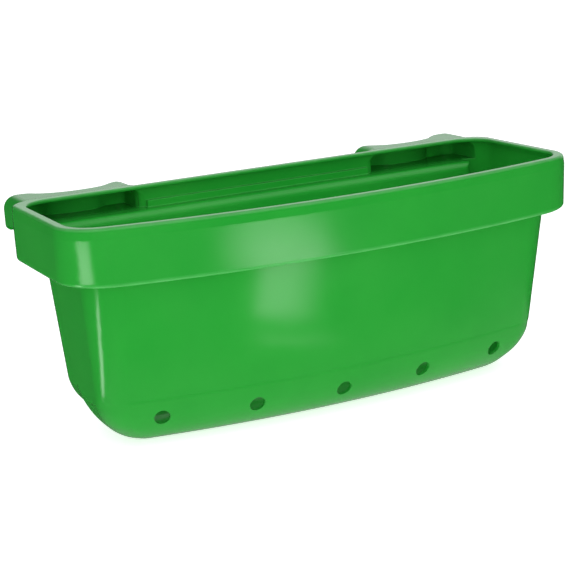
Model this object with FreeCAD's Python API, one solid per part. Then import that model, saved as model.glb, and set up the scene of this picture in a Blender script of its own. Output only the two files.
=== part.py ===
import FreeCAD, Part
import math, os
from FreeCAD import Vector as V

# Hook-over trough feeder, a one-piece hollow plastic moulding of even wall.
# Working frame: x along the trough, +y towards the hooks, z = 0 at the rim top.
# Everything is moved at the end so that the origin is the bottom centre of
# the whole feeder's box: +X along the trough, -Y the feeding side, +Z up.

# ---------------------------------------------------------------- dimensions
WALL = 4.5            # moulded wall thickness
HEIGHT = 255.0        # rim top to base
# collar (the raised band round the rim)
COL_A = 305.0         # half length
COL_BACK = 101.0      # back face
BACK_SKIM = 0.05      # stock taken off the back to leave it a true plane
COL_FRONT = 143.5     # front face at the middle
COL_H = 61.5          # band height
COL_RF = 49.0         # front corner radius in plan, at the rim
COL_RF_LOW = 56.0     # the same at the band's lower edge
COL_RR = 28.0         # rear corner radius in plan
COL_RR_IN = 32.0      # the same inside, where the moulding is thicker
FRONT_R = 1190.0      # plan radius of the bowed front of the collar
CREASE_Z = 11.0       # depth of the crease below the rim
RIM_IN = 1.4          # how far the rim edge leans in above the crease
COL_DRAFT = 0.5       # how far the band leans in from crease to lower edge
RIM_R = 4.0           # rounding of the rim's outer edge
LOW_R = 3.5           # rounding of the band's lower edge along the front
LOW_R_END = 5.0       # the same round the two ends
LOW_EASE = 2.4        # growth of the front corner radius over that rounding
FLANGE = 12.5         # width of the flat rim top
OPEN_RR = 32.0        # rear corner radius of the mouth
MOUTH_RF = 38.0       # front corner radius of the mouth
MOUTH_EASE = 1.4      # rounding of the mouth's cut edge
# tub below the collar
SPLIT_Z = 64.0        # level where the tub meets the collar
TUB_A = 280.0         # half length at the collar
TUB_FRONT = 125.5     # front wall at the collar, middle
TUB_BACK = 76.0       # back wall at the collar
TUB_FR = 1150.0       # plan radius of the bowed front wall
TAN_END = 0.082       # draft of the end walls
TAN_FRONT = 0.203     # lean of the front wall
TAN_BACK = 0.030      # draft of the back wall
TUB_RF_TOP = 44.0     # front corner radius in plan, at the collar
TUB_RF = 33.0         # the same at the foot of the straight walls
TUB_RR = 30.0         # rear corner radius in plan
# two-level base: a deep well along the front, a raised heel along the back
HEEL = 20.5           # height of the heel above the base
HEEL_R_END = 45.0     # rounding of the heel at the ends
HEEL_R_BACK = 21.0    # rounding of the heel along the back
WELL_R_END = 59.0     # rounding of the well at the ends
WELL_R_FRONT = 52.0   # rounding of the well along the front
WELL_R_BACK = 12.0    # rounding of the well at the foot of the riser
WELL_Y = 12.0         # foot of the riser
RISER = 0.62          # set-back of the riser per unit of height
WELL_RR = 36.0        # rear corner radius of the well in plan
# shallow recess along the back of the collar, below the hook arms
REC_A = 270.0         # half length
REC_Z = 31.0          # depth of its top below the rim
REC_Y = 75.5          # its back wall
LEDGE_A = 150.0       # half length of the small upper ledge
LEDGE_Z = 23.2
LEDGE_Y = 97.0
# hooks
HOOK_X1, HOOK_X2 = 148.0, 295.0    # inboard and outboard side faces
HOOK_EAR_OUT = 157.0  # rear face of the outboard prong
HOOK_EAR_IN = 150.0   # rear face of the inboard prong
HOOK_MID = 132.0      # rear face between the prongs
HOOK_T = 31.0         # depth of the hook arm
HOOK_LIP = 37.5       # depth of the prongs
HOOK_FLARE = 10.0     # rounding inside where the hook's hollow opens into the trough
THROAT_Y = 136.0      # inner face of the prongs
PRONG_IN = 190.0      # inboard prong ends here
PRONG_OUT = 243.0     # outboard prong starts here
HOOK_R = 15.0         # top edge rounding
PRONG_R = 5.0         # rounding of the prongs' outer lower edge
# drain holes
HOLE_R = 8.6
HOLES = ((-208.0, 219.0), (-103.0, 221.5), (0.5, 223.0), (102.5, 221.0), (205.5, 218.5))   # x, depth below the rim
HOLE_TILT = 0.0       # drilled level
HOLE_EASE = 0.4       # broken edge


def outline(z, a, front, fr, back, rf, rr):
    """Closed plan outline: bowed front, straight ends and back, round corners."""
    yc = -front + fr
    k = yc - math.sqrt((fr - rf) ** 2 - (a - rf) ** 2)
    pts = {}
    t = fr / (fr - rf)
    tx, ty = (a - rf) * t, yc + (k - yc) * t
    am = math.atan2(ty - k, tx - (a - rf))          # angle at the front tangent
    mid = (am + 0.0) / 2.0
    c = math.cos(math.radians(45))

    def P(x, y):
        return V(x, y, z)
    e = []
    e.append(Part.Arc(P(-tx, ty), P(0, -front), P(tx, ty)).toShape())
    e.append(Part.Arc(P(tx, ty), P(a - rf + rf * math.cos(mid), k + rf * math.sin(mid)), P(a, k)).toShape())
    e.append(Part.LineSegment(P(a, k), P(a, back - rr)).toShape())
    e.append(Part.Arc(P(a, back - rr), P(a - rr + rr * c, back - rr + rr * c), P(a - rr, back)).toShape())
    e.append(Part.LineSegment(P(a - rr, back), P(-a + rr, back)).toShape())
    e.append(Part.Arc(P(-a + rr, back), P(-a + rr - rr * c, back - rr + rr * c), P(-a, back - rr)).toShape())
    e.append(Part.LineSegment(P(-a, back - rr), P(-a, k)).toShape())
    e.append(Part.Arc(P(-a, k), P(-a + rf - rf * math.cos(mid), k + rf * math.sin(mid)), P(-tx, ty)).toShape())
    return Part.Wire(e)


def end_line(a, front, fr, back, rf, rr):
    """Length of the straight end left between the two corner arcs."""
    yc = -front + fr
    return back - rr - (yc - math.sqrt((fr - rf) ** 2 - (a - rf) ** 2))


def soft_outline(z, a, front, fr, back, rf, rr, keep=6.0):
    """As outline, with the corners eased where the ends get short."""
    while end_line(a, front, fr, back, rf, rr) < keep and rf > 3.0:
        rf *= 0.97
        rr *= 0.97
    return outline(z, a, front, fr, back, rf, rr)


def loft(wires, ruled=False):
    return Part.makeLoft(wires, True, ruled)


# ---------------------------------------------------------------- collar
def collar_lean(z, inset, back, rr):
    """Band outline at depth z with its slight lean; the back face stays plane."""
    d = -z
    lean = RIM_IN * (CREASE_Z - d) / CREASE_Z if d < CREASE_Z else COL_DRAFT * (d - CREASE_Z) / (COL_H - CREASE_Z)
    i = inset + lean
    return outline(z, COL_A - i, COL_FRONT - i, FRONT_R - i, back, collar_rf(z) - i, rr)


def collar_rf(z):
    return COL_RF + (COL_RF_LOW - COL_RF) * (-z) / COL_H


def quarter(z, r, zb):
    """Set-in of a side at level z, where its lower edge has radius r."""
    u = min(r, max(0.0, zb + r - z))
    return r - math.sqrt(max(0.0, r * r - u * u))


def collar_low(z):
    """Band outline in its lowest part, rounded more at the ends than in front."""
    i = COL_DRAFT * (-z - CREASE_Z) / (COL_H - CREASE_Z)
    e = quarter(z, LOW_R_END, -COL_H)
    f = quarter(z, LOW_R, -COL_H)
    return outline(z, COL_A - i - e, COL_FRONT - i - f, FRONT_R - i - f, COL_BACK + BACK_SKIM - f,
                   collar_rf(z) - i - 0.5 * (e + f) + LOW_EASE * e, COL_RR - f)


def rounded(solid, radius, pick):
    edges = [e for e in solid.Edges if pick(e)]
    return solid.makeFillet(radius, edges)


def at_z(z, tol=1e-3):
    return lambda e: abs(e.BoundBox.ZMin - z) < tol and abs(e.BoundBox.ZMax - z) < tol


def collar_outer():
    up = loft([collar_lean(-CREASE_Z, 0, COL_BACK + BACK_SKIM, COL_RR), collar_lean(0, 0, COL_BACK + BACK_SKIM, COL_RR)], True)
    up = rounded(up, RIM_R, at_z(0))
    n = 11
    zs = [-COL_H + LOW_R_END * (1.0 - math.sin(math.radians(90.0 * k / n))) for k in range(n, 0, -1)]
    lo = loft([collar_low(z) for z in zs] + [collar_low(-COL_H + LOW_R_END), collar_lean(-CREASE_Z, 0, COL_BACK + BACK_SKIM, COL_RR)], True)
    return up.fuse(lo).cut(Part.makeBox(1000, 50, 200, V(-500, COL_BACK, -150)))


def collar_inner():
    top, bot = -WALL, -COL_H + WALL
    b, r = COL_BACK - WALL, COL_RR_IN
    up = loft([collar_lean(-CREASE_Z, WALL, b, r), collar_lean(top, WALL, b, r)], True)
    lo = loft([collar_lean(bot, WALL, b, r), collar_lean(-CREASE_Z, WALL, b, r)], True)
    return up.fuse(lo)


def mouth():
    """The opening in the rim top, its cut edge eased above and below."""
    def w(z, ease):
        i = FLANGE - ease
        return outline(z, COL_A - i, COL_FRONT - i, FRONT_R - i, COL_BACK - 12.0 + ease, MOUTH_RF + ease, OPEN_RR + ease)
    e = MOUTH_EASE
    steps = [(e * math.sin(math.radians(q)), e * (1.0 - math.sqrt(1.0 - (1.0 - math.sin(math.radians(q))) ** 2)))
             for q in (15.0, 30.0, 45.0, 60.0, 75.0, 90.0)]
    top = [w(-d, ease) for d, ease in steps]
    low = [w(-WALL + d, ease) for d, ease in steps]
    return loft([w(-WALL - 2.0, e), w(-WALL, e)] + low + list(reversed(top)) + [w(0.0, e), w(2.0, e)], True)


# ---------------------------------------------------------------- tub
def rounding(z, r, zb):
    """Set-in of a wall at level z, where its base rounding has radius r.

    The arc stops at 80 degrees, which leaves a soft edge round the flat base.
    """
    zc = zb + r
    if z >= zc:
        return 0.0
    k = 1.0 / math.sin(math.radians(80.0))
    return r * k - math.sqrt(max(0.0, (r * k) ** 2 - (zc - z) ** 2))


def wall_at(z, t):
    """Half length, front and back of the straight drafted walls, set in by t."""
    d = -z - SPLIT_Z
    return (TUB_A - TAN_END * d - t,
            TUB_FRONT - TAN_FRONT * d - t * math.hypot(1, TAN_FRONT),
            TUB_BACK - TAN_BACK * d - t)


def tub_rf(z):
    k = (-z - SPLIT_Z) / (HEIGHT - HEEL - HEEL_R_END - SPLIT_Z)
    return TUB_RF_TOP + (TUB_RF - TUB_RF_TOP) * min(1.0, k)


def wall_outline(z, t):
    a, f, b = wall_at(z, t)
    return outline(z, a, f, TUB_FR - t, b, tub_rf(z) - t, TUB_RR - t)


def heel_outline(z, t):
    """Rear, shallower part of the base; its front lies inside the well."""
    zb = -(HEIGHT - HEEL) + t
    a, f, b = wall_at(z, t)
    ee = rounding(z, HEEL_R_END - t, zb)
    eb = rounding(z, HEEL_R_BACK - t, zb)
    m = ee / HEEL_R_END
    return soft_outline(z, a - ee, f - 16.0 - 0.6 * ee, TUB_FR - t, b - eb, tub_rf(z) - t + 6.0 * m, TUB_RR - t + 8.0 * m)


def well_outline(z, t):
    """Front, deeper part of the base; its back is the riser up to the heel."""
    zb = -HEIGHT + t
    a, f, b = wall_at(z, t)
    ee = rounding(z, WELL_R_END - t, zb)
    ef = rounding(z, WELL_R_FRONT - t, zb)
    eb = rounding(z, WELL_R_BACK - t, zb)
    b = min(b - 2.0, WELL_Y + RISER * (z + HEIGHT) - t * math.hypot(1, RISER)) - eb
    m = ee / WELL_R_END
    return soft_outline(z, a - ee, f - ef, TUB_FR - t, b, tub_rf(z) - t + 6.0 * m, WELL_RR - t + 4.0 * m)


def levels(z0, zb, r, n):
    """Levels down a base rounding, evenly spaced in angle, from z0 to the base."""
    zc = zb + r
    zs = [zc - (r / math.sin(math.radians(80.0))) * math.sin(math.radians(80.0 * k / n)) for k in range(n + 1)]
    zs[-1] = zb
    return zs


def tub_solid(t, ztop):
    zh = -(HEIGHT - HEEL) + t
    zw = -HEIGHT + t
    zj = zh + HEEL_R_END - t          # where the straight walls end
    walls = loft([wall_outline(zj, t), wall_outline(ztop, t)], True)
    heel = loft([heel_outline(z, t) for z in reversed(levels(zj, zh, HEEL_R_END - t, 7))], False)
    top = zw + WELL_R_END - t
    zone = loft([well_outline(top, t), well_outline(zj, t)], True)
    well = loft([well_outline(z, t) for z in reversed(levels(top, zw, WELL_R_END - t, 9))], False)
    for n, q in (("walls", walls), ("heel", heel), ("zone", zone), ("well", well)):
        if not q.isValid():
            print("check", n, t)
    return walls.fuse([heel, zone, well])


# ---------------------------------------------------------------- hooks
def hook_plan(sgn, inset, y_in, z):
    """Plan of one hook: two ears with a hollow curve between them."""
    x1, x2 = HOOK_X1 + inset, HOOK_X2 - inset
    eo, ei, m = HOOK_EAR_OUT - inset, HOOK_EAR_IN - inset, HOOK_MID - inset
    r1, r2 = 13.0 - inset * 0.8, 17.0 - inset * 0.8
    c = math.cos(math.radians(45))

    def P(x, y):
        return V(sgn * x, y, z)
    rr = HOOK_FLARE + WALL - inset       # flared root on the inboard side
    yb = COL_BACK - inset
    xr = x1 - rr
    e = [Part.LineSegment(P(xr, y_in), P(xr, yb)).toShape(),
         Part.Arc(P(xr, yb), P(xr + rr * c, yb + rr - rr * c), P(x1, yb + rr)).toShape(),
         Part.LineSegment(P(x1, yb + rr), P(x1, ei - r1)).toShape(),
         Part.Arc(P(x1, ei - r1), P(x1 + r1 - r1 * c, ei - r1 + r1 * c), P(x1 + r1, ei)).toShape()]
    s = Part.BSplineCurve()
    xa, xb = x1 + r1, x2 - r2
    pts = [P(xa, ei), P(188, m + 4.0), P(208, m), P(228, m + 1.5), P(248, m + 10.0), P(xb, eo)]
    s.interpolate(Points=pts, InitialTangent=V(sgn * 1.0, 0, 0), FinalTangent=V(sgn * 1.0, 0, 0))
    e.append(s.toShape())
    e.append(Part.Arc(P(xb, eo), P(xb + r2 * c, eo - r2 + r2 * c), P(x2, eo - r2)).toShape())
    e.append(Part.LineSegment(P(x2, eo - r2), P(x2, y_in)).toShape())
    e.append(Part.LineSegment(P(x2, y_in), P(xr, y_in)).toShape())
    return Part.Wire(Part.__sortEdges__(e))


def xbox(sgn, x1, x2, y1, y2, z1, z2):
    lo, hi = sorted((sgn * x1, sgn * x2))
    return Part.makeBox(hi - lo, y2 - y1, z2 - z1, V(lo, y1, z1))


def hook_outer(sgn):
    w = hook_plan(sgn, 0.0, 60.0, -HOOK_LIP)
    s = Part.Face(w).extrude(V(0, 0, HOOK_LIP))
    top = [e for e in s.Edges if at_z(0)(e) and e.BoundBox.YMax > 61.0]
    s = s.makeFillet(HOOK_R, top)
    low = [e for e in s.Edges if at_z(-HOOK_LIP)(e) and e.BoundBox.YMax > 61.0]
    s = s.makeFillet(PRONG_R, low)
    s = s.cut(xbox(sgn, 100, 340, 40, THROAT_Y, -60, -HOOK_T))
    s = s.cut(xbox(sgn, PRONG_IN, PRONG_OUT, 40, 200, -60, -HOOK_T))
    return s


def hook_inner(sgn):
    w = hook_plan(sgn, WALL, 88.0, -HOOK_LIP + WALL)
    s = Part.Face(w).extrude(V(0, 0, HOOK_LIP - 2 * WALL))
    top = [e for e in s.Edges if at_z(-WALL)(e) and e.BoundBox.YMax > 89.0]
    s = s.makeFillet(HOOK_R - WALL, top)
    s = s.cut(xbox(sgn, 100, 340, 40, THROAT_Y + WALL, -60, -HOOK_T + WALL))
    s = s.cut(xbox(sgn, PRONG_IN - WALL, PRONG_OUT + WALL, 40, 200, -60, -HOOK_T + WALL))
    return s


# ---------------------------------------------------------------- build
def recess(t):
    b = Part.makeBox(2 * (REC_A + t), 80.0, 100.0 - REC_Z + t, V(-REC_A - t, REC_Y - t, -100.0))
    b = b.makeFillet(9.0, [e for e in b.Edges if abs(e.BoundBox.YMin - (REC_Y - t)) < 1e-3 and abs(e.BoundBox.YMax - (REC_Y - t)) < 1e-3
                           and not (abs(e.BoundBox.ZMax + 100) < 1e-3)])
    return b


def ledge(t):
    b = Part.makeBox(2 * LEDGE_A, 40.0, 12.0, V(-LEDGE_A, LEDGE_Y - t, -LEDGE_Z - 12.0 + t))
    return b


co = collar_outer()
for s in (-1, 1):
    co = co.fuse(hook_outer(s))
co = co.cut(recess(0.0))
tub_o = tub_solid(0.0, -50.0)
tub_i = tub_solid(WALL, -50.0)
outer = co.fuse(tub_o)

ci = collar_inner()
ci = ci.cut(recess(WALL))
ci = ci.cut(ledge(WALL))
for s in (-1, 1):
    ci = ci.fuse(hook_inner(s))
inner = ci.fuse(tub_i).fuse(mouth())
body = outer.cut(inner)

# drain holes along the foot of the front wall, level and square to its bow
for x, depth in HOLES:
    d = depth - SPLIT_Z
    f = TUB_FRONT - TAN_FRONT * d - rounding(-depth, WELL_R_FRONT, -HEIGHT)
    y = -f + TUB_FR - math.sqrt(TUB_FR ** 2 - x ** 2)
    yaw = math.asin(x / TUB_FR)
    tilt = math.radians(HOLE_TILT)
    n = V(math.sin(yaw) * math.cos(tilt), -math.cos(yaw) * math.cos(tilt), -math.sin(tilt))
    p = V(x, y, -depth)
    body = body.cut(Part.makeCylinder(HOLE_R, 40.0, p - n * 20.0, n))
    body = body.cut(Part.makeCone(HOLE_R, HOLE_R + 3 * HOLE_EASE, 3 * HOLE_EASE, p - n * HOLE_EASE, n))

big = 1000.0
tub = body.common(Part.makeBox(big, big, big, V(-big / 2, -big / 2, -SPLIT_Z - big)))
upper = body.common(Part.makeBox(big, big, big, V(-big / 2, -big / 2, -SPLIT_Z)))
left = upper.common(Part.makeBox(big / 2, big, big, V(-big / 2, COL_BACK, -big / 2)))
right = upper.common(Part.makeBox(big / 2, big, big, V(0, COL_BACK, -big / 2)))
collar = upper.common(Part.makeBox(big, big, big, V(-big / 2, COL_BACK - big, -big / 2)))

nodes = {"tub": tub, "rim_collar": collar, "left_hook": left, "right_hook": right}
bb = FreeCAD.BoundBox()
for s in nodes.values():
    bb.add(s.optimalBoundingBox(True, False) if hasattr(s, "optimalBoundingBox") else s.BoundBox)
shift = V(-(bb.XMin + bb.XMax) / 2, -(bb.YMin + bb.YMax) / 2, -bb.ZMin)
print("box", bb, "shift", shift)

os.makedirs("parts", exist_ok=True)
for name, s in nodes.items():
    sol = s.Solids
    print(name, "solids", len(sol), [round(x.Volume / 1000.0, 1) for x in sol], "valid", s.isValid())
    keep = max(sol, key=lambda x: x.Volume)
    keep = keep.copy()
    keep.translate(shift)
    keep.exportStep("parts/%s.step" % name)
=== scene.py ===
import bpy, math
from mathutils import Matrix, Vector

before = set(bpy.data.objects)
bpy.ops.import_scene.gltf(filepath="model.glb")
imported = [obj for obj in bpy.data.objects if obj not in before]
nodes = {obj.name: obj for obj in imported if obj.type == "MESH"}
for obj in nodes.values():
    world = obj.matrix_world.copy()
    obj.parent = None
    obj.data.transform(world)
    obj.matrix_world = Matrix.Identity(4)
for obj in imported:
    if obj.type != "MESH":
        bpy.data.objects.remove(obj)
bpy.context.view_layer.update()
scene = bpy.context.scene


# ------------------------------------------------------------------ materials
def moulded_green(name, seed, base=(0.0165, 0.330, 0.0300), wave=1.0, edge=0.0012, painted_highlight_levels=()):
    """Semi-gloss green polyethylene as it leaves a rotational mould.

    The last argument gives (from, to, amount) for each level, in metres, where the plastic is painted paler
    as a painted highlight. Every sharp edge is painted a little paler as well, as a painted edge highlight.
    """
    m = bpy.data.materials.new(name)
    m.use_nodes = True
    nt = m.node_tree
    nd, lk = nt.nodes, nt.links
    for n in list(nd):
        nd.remove(n)

    def add(kind, **inputs):
        n = nd.new(kind)
        for k, v in inputs.items():
            n.inputs[k.replace("_", " ")].default_value = v
        return n

    out = add("ShaderNodeOutputMaterial")
    bs = add("ShaderNodeBsdfPrincipled")
    bs.inputs["Specular IOR Level"].default_value = 0.36
    bs.inputs["IOR"].default_value = 1.5
    lk.new(bs.outputs["BSDF"], out.inputs["Surface"])

    tc = add("ShaderNodeTexCoord")
    off = nd.new("ShaderNodeMapping")
    off.inputs["Location"].default_value = (seed * 1.7, seed * 0.6, seed * 2.3)
    lk.new(tc.outputs["Object"], off.inputs["Vector"])

    def noise(scale, detail, rough=0.5, vec=off):
        n = nd.new("ShaderNodeTexNoise")
        n.inputs["Scale"].default_value = scale
        n.inputs["Detail"].default_value = detail
        n.inputs["Roughness"].default_value = rough
        lk.new(vec.outputs["Vector"], n.inputs["Vector"])
        return n

    def ramp(src, lo, hi, a, b):
        r = nd.new("ShaderNodeMapRange")
        r.inputs["From Min"].default_value = lo
        r.inputs["From Max"].default_value = hi
        r.inputs["To Min"].default_value = a
        r.inputs["To Max"].default_value = b
        lk.new(src, r.inputs["Value"])
        return r

    # colour: broad clouding of the pigment, faint speckle, and a painted highlight that makes edges, the rim and the
    # band's foot paler
    cloud = noise(7.0, 3.0)
    speck = noise(420.0, 2.0, 0.7)
    mix1 = nd.new("ShaderNodeMix")
    mix1.data_type = "RGBA"
    mix1.inputs["A"].default_value = (base[0] * 0.8, base[1] * 0.94, base[2] * 0.9, 1)
    mix1.inputs["B"].default_value = (base[0] * 1.3, base[1] * 1.06, base[2] * 1.12, 1)
    lk.new(ramp(cloud.outputs["Fac"], 0.3, 0.7, 0.0, 1.0).outputs["Result"], mix1.inputs["Factor"])
    mix2 = nd.new("ShaderNodeMix")
    mix2.data_type = "RGBA"
    lk.new(mix1.outputs["Result"], mix2.inputs["A"])
    mix2.inputs["B"].default_value = (base[0] * 2.6, min(1.0, base[1] * 1.12), base[2] * 1.6, 1)
    lk.new(ramp(speck.outputs["Fac"], 0.62, 0.8, 0.0, 0.22).outputs["Result"], mix2.inputs["Factor"])

    # painted highlight: edges painted paler, found by how far a soft edge's direction
    #     leaves the surface's own, and levels painted paler along the rim and the band's foot
    soft = nd.new("ShaderNodeBevel")
    soft.samples = 6
    soft.inputs["Radius"].default_value = 0.0013
    own = nd.new("ShaderNodeNewGeometry")
    dot = nd.new("ShaderNodeVectorMath")
    dot.operation = "DOT_PRODUCT"
    lk.new(soft.outputs["Normal"], dot.inputs[0])
    lk.new(own.outputs["Normal"], dot.inputs[1])
    painted_highlight_mask = ramp(dot.outputs["Value"], 0.86, 0.985, 0.14, 0.0).outputs["Result"]
    lvl = nd.new("ShaderNodeSeparateXYZ")
    lk.new(tc.outputs["Object"], lvl.inputs["Vector"])
    # painted highlight by level, along the rim and the band's foot
    for lo, hi, amount in painted_highlight_levels:
        band = ramp(lvl.outputs["Z"], lo, hi, 0.0, amount).outputs["Result"]
        top = nd.new("ShaderNodeMath")
        top.operation = "MAXIMUM"
        lk.new(painted_highlight_mask, top.inputs[0])
        lk.new(band, top.inputs[1])
        painted_highlight_mask = top.outputs["Value"]
    patchy = noise(38.0, 3.0, 0.6)
    part = nd.new("ShaderNodeMath")
    part.operation = "MULTIPLY"
    lk.new(painted_highlight_mask, part.inputs[0])
    lk.new(ramp(patchy.outputs["Fac"], 0.3, 0.65, 0.55, 1.0).outputs["Result"], part.inputs[1])
    mix3 = nd.new("ShaderNodeMix")
    mix3.data_type = "RGBA"
    lk.new(mix2.outputs["Result"], mix3.inputs["A"])
    mix3.inputs["B"].default_value = (0.17, 0.60, 0.20, 1)
    lk.new(part.outputs["Value"], mix3.inputs["Factor"])
    lk.new(mix3.outputs["Result"], bs.inputs["Base Color"])

    # gloss: mostly even, duller in drifting patches and fine scuffs
    patch = noise(11.0, 4.0, 0.6)
    st = nd.new("ShaderNodeMapping")
    st.inputs["Scale"].default_value = (6.0, 6.0, 90.0)
    st.inputs["Rotation"].default_value = (0.3, 0.9, 0.2)
    lk.new(tc.outputs["Object"], st.inputs["Vector"])
    scuff = noise(9.0, 5.0, 0.75, st)
    rough = nd.new("ShaderNodeMath")
    rough.operation = "ADD"
    lk.new(ramp(patch.outputs["Fac"], 0.3, 0.7, 0.15, 0.21).outputs["Result"], rough.inputs[0])
    lk.new(ramp(scuff.outputs["Fac"], 0.6, 0.78, 0.0, 0.10).outputs["Result"], rough.inputs[1])
    lk.new(rough.outputs["Value"], bs.inputs["Roughness"])

    # relief: soft edges, slow waves left by the mould, a fine orange peel
    bev = nd.new("ShaderNodeBevel")
    bev.samples = 6
    bev.inputs["Radius"].default_value = edge
    slow = noise(9.5, 1.0, 0.4)
    peel = noise(260.0, 2.0, 0.5)
    b1 = nd.new("ShaderNodeBump")
    b1.inputs["Strength"].default_value = 1.0
    b1.inputs["Distance"].default_value = 0.0011 * wave
    lk.new(slow.outputs["Fac"], b1.inputs["Height"])
    lk.new(bev.outputs["Normal"], b1.inputs["Normal"])
    b2 = nd.new("ShaderNodeBump")
    b2.inputs["Strength"].default_value = 1.0
    b2.inputs["Distance"].default_value = 0.000025
    lk.new(peel.outputs["Fac"], b2.inputs["Height"])
    lk.new(b1.outputs["Normal"], b2.inputs["Normal"])
    lk.new(b2.outputs["Normal"], bs.inputs["Normal"])
    return m


mats = {
    "tub": moulded_green("tub_green", 1.0, wave=1.5),
    # the collar gets painted highlight lines along its rim and along the band's foot
    "rim_collar": moulded_green("collar_green", 1.0, edge=0.0022, painted_highlight_levels=((0.2520, 0.2545, 0.40), (0.1985, 0.1945, 0.45))),
    "left_hook": moulded_green("hook_green_left", 1.0),
    "right_hook": moulded_green("hook_green_right", 1.0),
}
for n, o in nodes.items():
    o.data.materials.clear()
    o.data.materials.append(mats[n])


# ------------------------------------------------------------------ stage
def plane(name, pts, z=0.0):
    me = bpy.data.meshes.new(name)
    me.from_pydata([(x, y, z) if len(p) == 2 else tuple(p) for p in pts for x, y in [p[:2]]], [], [list(range(len(pts)))])
    o = bpy.data.objects.new(name, me)
    scene.collection.objects.link(o)
    return o


def emitter(name, corners, strength, fade=(0.25, 0.25, 0.12, 0.12), z=0.0025, color=(1, 1, 1), cuts=24):
    """A bright card with soft edges that only shows in gloss: it is what the plastic mirrors.

    corners: near left, near right, far right, far left. fade: the share of the
    card over which it dies away at its left, right, near and far edges.
    """
    p = [Vector((x, y, z)) for x, y in corners]
    vs, fs = [], []
    for j in range(cuts + 1):
        a, b = p[0].lerp(p[3], j / cuts), p[1].lerp(p[2], j / cuts)
        vs += [a.lerp(b, i / cuts) for i in range(cuts + 1)]
    for j in range(cuts):
        for i in range(cuts):
            k = j * (cuts + 1) + i
            fs.append((k, k + 1, k + cuts + 2, k + cuts + 1))
    me = bpy.data.meshes.new(name)
    me.from_pydata([tuple(v) for v in vs], [], fs)
    att = me.attributes.new("glow", "FLOAT", "POINT")

    def step(t, w):
        t = min(1.0, max(0.0, t / w)) if w > 0 else 1.0
        return t * t * (3 - 2 * t)
    vals = []
    for j in range(cuts + 1):
        for i in range(cuts + 1):
            x, y = i / cuts, j / cuts
            vals.append(step(x, fade[0]) * step(1 - x, fade[1]) * step(y, fade[2]) * step(1 - y, fade[3]))
    att.data.foreach_set("value", vals)
    o = bpy.data.objects.new(name, me)
    scene.collection.objects.link(o)
    m = bpy.data.materials.new(name)
    m.use_nodes = True
    nt = m.node_tree
    for n in list(nt.nodes):
        nt.nodes.remove(n)
    out = nt.nodes.new("ShaderNodeOutputMaterial")
    em = nt.nodes.new("ShaderNodeEmission")
    em.inputs["Color"].default_value = (*color, 1)
    at = nt.nodes.new("ShaderNodeAttribute")
    at.attribute_name = "glow"
    mul = nt.nodes.new("ShaderNodeMath")
    mul.operation = "MULTIPLY"
    mul.inputs[1].default_value = strength
    nt.links.new(at.outputs["Fac"], mul.inputs[0])
    nt.links.new(mul.outputs["Value"], em.inputs["Strength"])
    # see-through where it doesn't glow, so that it never darkens what is behind it
    tr = nt.nodes.new("ShaderNodeBsdfTransparent")
    add = nt.nodes.new("ShaderNodeAddShader")
    nt.links.new(em.outputs["Emission"], add.inputs[0])
    nt.links.new(tr.outputs["BSDF"], add.inputs[1])
    nt.links.new(add.outputs["Shader"], out.inputs["Surface"])
    m.cycles.emission_sampling = "NONE"
    o.data.materials.append(m)
    o.visible_camera = False
    o.visible_diffuse = False
    o.visible_shadow = False
    o.visible_transmission = False
    return o


floor = plane("floor", [(-30, -30), (30, -30), (30, 30), (-30, 30)])
fm = bpy.data.materials.new("pale_floor")
fm.use_nodes = True
fb = fm.node_tree.nodes["Principled BSDF"]
fb.inputs["Base Color"].default_value = (0.86, 0.87, 0.87, 1)
fb.inputs["Roughness"].default_value = 0.9
fb.inputs["Specular IOR Level"].default_value = 0.1
fb.inputs["Emission Color"].default_value = (1.0, 1.0, 1.0, 1)
fb.inputs["Emission Strength"].default_value = 0.74
floor.data.materials.append(fm)

floor.visible_glossy = False

# a pale wall all round, far out, so that low views have the same ground behind them
ring = [(29.0 * math.cos(math.tau * i / 48), 29.0 * math.sin(math.tau * i / 48)) for i in range(48)]
me = bpy.data.meshes.new("far_wall")
me.from_pydata([(x, y, z) for z in (-0.01, 40.0) for x, y in ring], [], [(i, (i + 1) % 48, 48 + (i + 1) % 48, 48 + i) for i in range(48)])
wall = bpy.data.objects.new("far_wall", me)
scene.collection.objects.link(wall)
wm = bpy.data.materials.new("pale_wall")
wm.use_nodes = True
wb = wm.node_tree.nodes["Principled BSDF"]
wb.inputs["Base Color"].default_value = (0.86, 0.87, 0.87, 1)
wb.inputs["Emission Color"].default_value = (1.0, 1.0, 1.0, 1)
wb.inputs["Emission Strength"].default_value = 1.0
wall.data.materials.append(wm)
wall.visible_glossy = False
wall.visible_diffuse = False
wall.visible_shadow = False

# the tall window seen as a broad soft band in the bowed front: the part seen
# in the rim band lies far out, the part seen in the tub lies close in
emitter("card_band", [(-0.045, -0.62), (0.30, -0.62), (0.47, -1.30), (-0.05, -1.30)], 5.8, (0.32, 0.40, 0.10, 0.10))
emitter("card_tub", [(-0.070, -0.283), (0.052, -0.260), (0.135, -0.41), (-0.022, -0.44)], 4.0, (0.12, 0.55, 0.10, 0.05))
emitter("card_tub_foot", [(-0.083, -0.240), (0.072, -0.205), (0.066, -0.226), (-0.078, -0.262)], 1.9, (0.2, 0.4, 0.3, 0.3), z=0.003)
# the pale ground close in front, seen faintly in the lower part of the tub
emitter("card_ground", [(-0.45, 0.06), (0.42, 0.06), (0.50, -0.26), (-0.43, -0.26)], 0.42, (0.08, 0.08, 0.45, 0.5), z=0.002)
# the strip seen in the left front corner
emitter("card_left", [(-0.79, -0.11), (-0.64, -0.42), (-0.95, -0.90), (-1.35, -0.25)], 6.5, (0.25, 0.3, 0.1, 0.1))
emitter("card_left_tub", [(-0.36, 0.005), (-0.37, -0.045), (-0.62, -0.13), (-0.60, -0.02)], 6.5, (0.3, 0.3, 0.15, 0.1))

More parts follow.
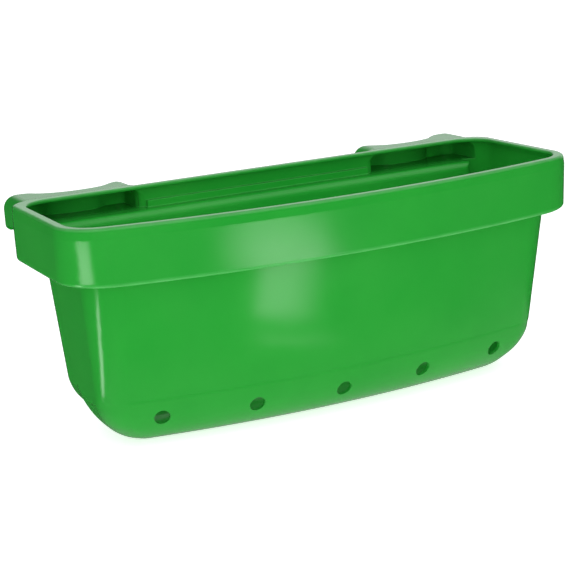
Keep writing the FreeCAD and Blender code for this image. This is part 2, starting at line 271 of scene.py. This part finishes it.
# ------------------------------------------------------------------ light
world = bpy.data.worlds.new("studio")
scene.world = world
world.use_nodes = True
wt = world.node_tree
bg = wt.nodes["Background"]
geo = wt.nodes.new("ShaderNodeTexCoord")
sep = wt.nodes.new("ShaderNodeSeparateXYZ")


def world_ramp(src, lo, hi, a, b):
    n = wt.nodes.new("ShaderNodeMapRange")
    n.interpolation_type = "SMOOTHSTEP"
    n.inputs["From Min"].default_value = lo
    n.inputs["From Max"].default_value = hi
    n.inputs["To Min"].default_value = a
    n.inputs["To Max"].default_value = b
    wt.links.new(src, n.inputs["Value"])
    return n.outputs["Result"]


# a bright wall behind the feeder, low to the horizon; the rest of the room is dim
wt.links.new(geo.outputs["Generated"], sep.inputs["Vector"])
back = world_ramp(sep.outputs["Y"], 0.05, 0.55, 0.0, 0.82)
low = world_ramp(sep.outputs["Z"], 0.25, 0.75, 1.0, 0.12)
up = world_ramp(sep.outputs["Z"], -0.04, 0.02, 0.0, 1.0)
side = world_ramp(sep.outputs["X"], -0.02, 0.22, 0.0, 1.0)
mul = wt.nodes.new("ShaderNodeMath")
mul.operation = "MULTIPLY"
wt.links.new(back, mul.inputs[0])
wt.links.new(low, mul.inputs[1])
mul1 = wt.nodes.new("ShaderNodeMath")
mul1.operation = "MULTIPLY"
wt.links.new(mul.outputs["Value"], mul1.inputs[0])
wt.links.new(side, mul1.inputs[1])
mul2 = wt.nodes.new("ShaderNodeMath")
mul2.operation = "MULTIPLY"
wt.links.new(mul1.outputs["Value"], mul2.inputs[0])
wt.links.new(up, mul2.inputs[1])
# a broad soft ceiling, brighter towards the front
high = world_ramp(sep.outputs["Z"], 0.28, 0.85, 0.0, 1.0)
fore = world_ramp(sep.outputs["Y"], 0.45, -0.35, 0.45, 1.25)
ceil = wt.nodes.new("ShaderNodeMath")
ceil.operation = "MULTIPLY_ADD"
wt.links.new(high, ceil.inputs[0])
wt.links.new(fore, ceil.inputs[1])
ceil.inputs[2].default_value = 0.04
tot = wt.nodes.new("ShaderNodeMath")
tot.operation = "ADD"
wt.links.new(ceil.outputs["Value"], tot.inputs[1])
wt.links.new(mul2.outputs["Value"], tot.inputs[0])
wt.links.new(tot.outputs["Value"], bg.inputs["Strength"])
bg.inputs["Color"].default_value = (0.97, 0.985, 1.0, 1)


def area(name, loc, target, size, power, size_y=None, color=(1, 1, 1)):
    l = bpy.data.lights.new(name, "AREA")
    l.energy = power
    l.color = color
    l.shape = "RECTANGLE"
    l.size = size
    l.size_y = size_y or size
    o = bpy.data.objects.new(name, l)
    scene.collection.objects.link(o)
    o.location = loc
    o.rotation_euler = (Vector(target) - Vector(loc)).to_track_quat("-Z", "Y").to_euler()
    o.visible_camera = False
    o.visible_glossy = False
    return o


area("key", (-0.55, -1.3, 0.62), (-0.05, 0, 0.12), 1.0, 5.0, 0.7)
area("inside", (0.0, -0.105, 0.243), (0, 0.12, 0.232), 0.50, 0.20, 0.015)
area("fill", (-2.2, -0.5, 0.9), (0, 0, 0.1), 1.2, 3.0)

# ------------------------------------------------------------------ camera
AL, EP, RO, F = 0.43706, 0.23972, -0.06676, 1655.09
C = Vector((-0.7876, -1.6468, 0.5778))
l = Vector((math.sin(AL) * math.cos(EP), math.cos(AL) * math.cos(EP), -math.sin(EP)))
r = Vector((math.cos(AL), -math.sin(AL), 0.0))
u = r.cross(l)
r2 = math.cos(RO) * r + math.sin(RO) * u
u2 = -math.sin(RO) * r + math.cos(RO) * u
cd = bpy.data.cameras.new("camera")
cd.sensor_fit = "HORIZONTAL"
cd.sensor_width = 36.0
cd.lens = F / 570.0 * 36.0
cd.clip_start = 0.05
cd.clip_end = 100.0
cam = bpy.data.objects.new("camera", cd)
scene.collection.objects.link(cam)
cam.matrix_world = Matrix(((r2.x, u2.x, -l.x, C.x), (r2.y, u2.y, -l.y, C.y), (r2.z, u2.z, -l.z, C.z), (0, 0, 0, 1)))
scene.camera = cam

scene.view_settings.view_transform = "Standard"
